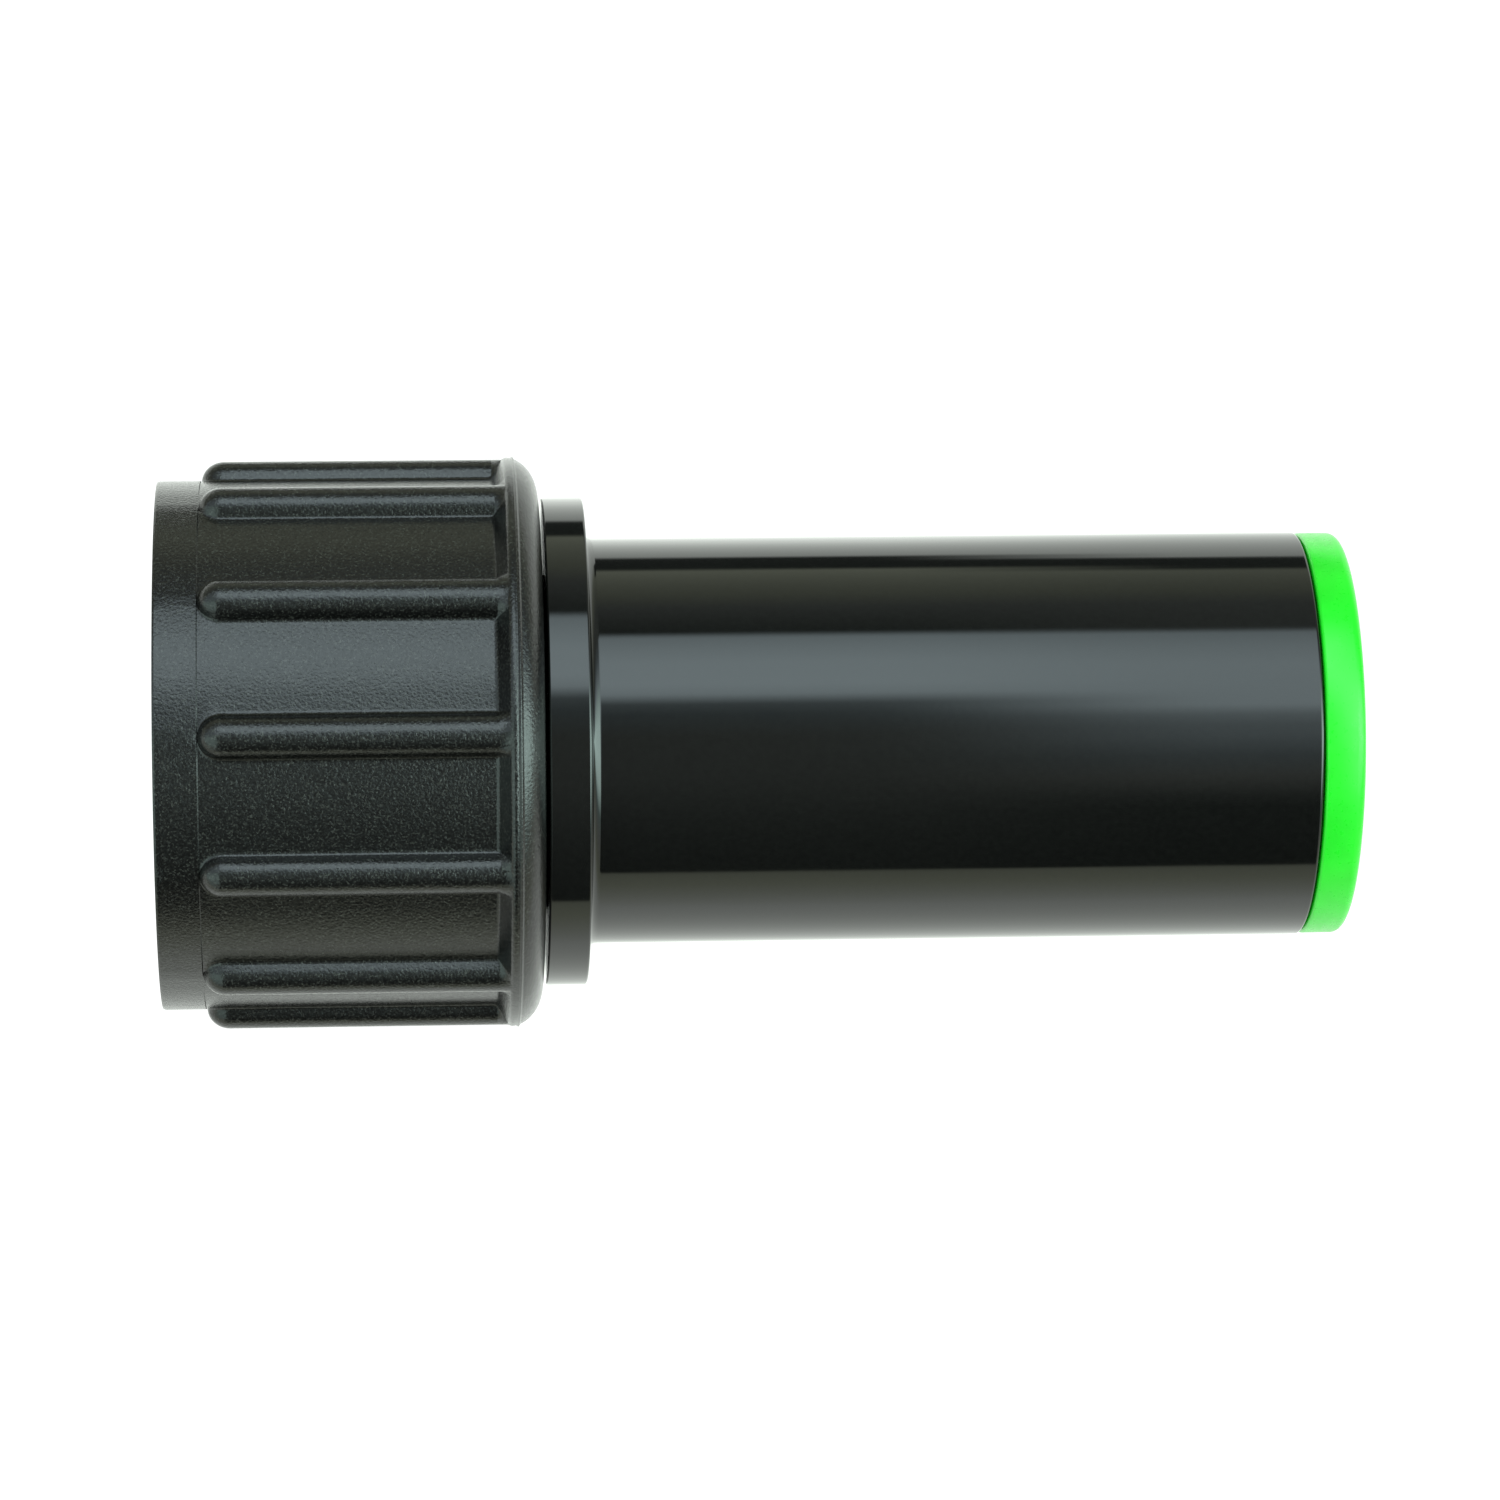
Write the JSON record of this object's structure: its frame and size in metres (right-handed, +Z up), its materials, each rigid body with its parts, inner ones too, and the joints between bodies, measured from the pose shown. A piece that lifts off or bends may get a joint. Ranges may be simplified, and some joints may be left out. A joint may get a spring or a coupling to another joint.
{
  "type": "compression hose swivel adapter",
  "caption": "Straight adapter with a ribbed female hose-thread swivel nut and filter washer at one end and a compression tubing socket with a coloured gripping insert at the other.",
  "frame": {"origin": "centre of the bounding box, on the fitting's axis, halfway between the nut's open end and the insert's open end", "axes": "+X along the fitting's axis from the swivel nut towards the compression insert, +Z up as the fitting lies on its side"},
  "size_m": [0.0728, 0.035, 0.035],
  "materials": {
    "moulded_body": "high gloss black moulding",
    "moulded_nut": "satin black moulding with a fine grain",
    "coloured_insert": "bright green moulding, soft gloss",
    "washer_rubber": "matt black rubber",
    "pressed_steel": "bright pressed stainless steel",
    "woven_steel": "woven stainless wire"
  },
  "bodies": {
    "body": {"fitting_body": "moulded_body", "compression_insert": "coloured_insert"},
    "nut": {"swivel_nut": "moulded_nut"},
    "filter": {"hose_washer": "washer_rubber", "screen_rim": "pressed_steel", "filter_screen": "woven_steel"}
  },
  "joints": [
    {"name": "nut_swivel", "type": "hinge", "parent": "body", "child": "nut", "pos_m": [0, 0, 0], "axis": [1, 0, 0], "continuous": true},
    {"name": "filter_pull", "type": "slide", "parent": "nut", "child": "filter", "axis": [-1, 0, 0], "range_m": [0, 0.024]}
  ]
}
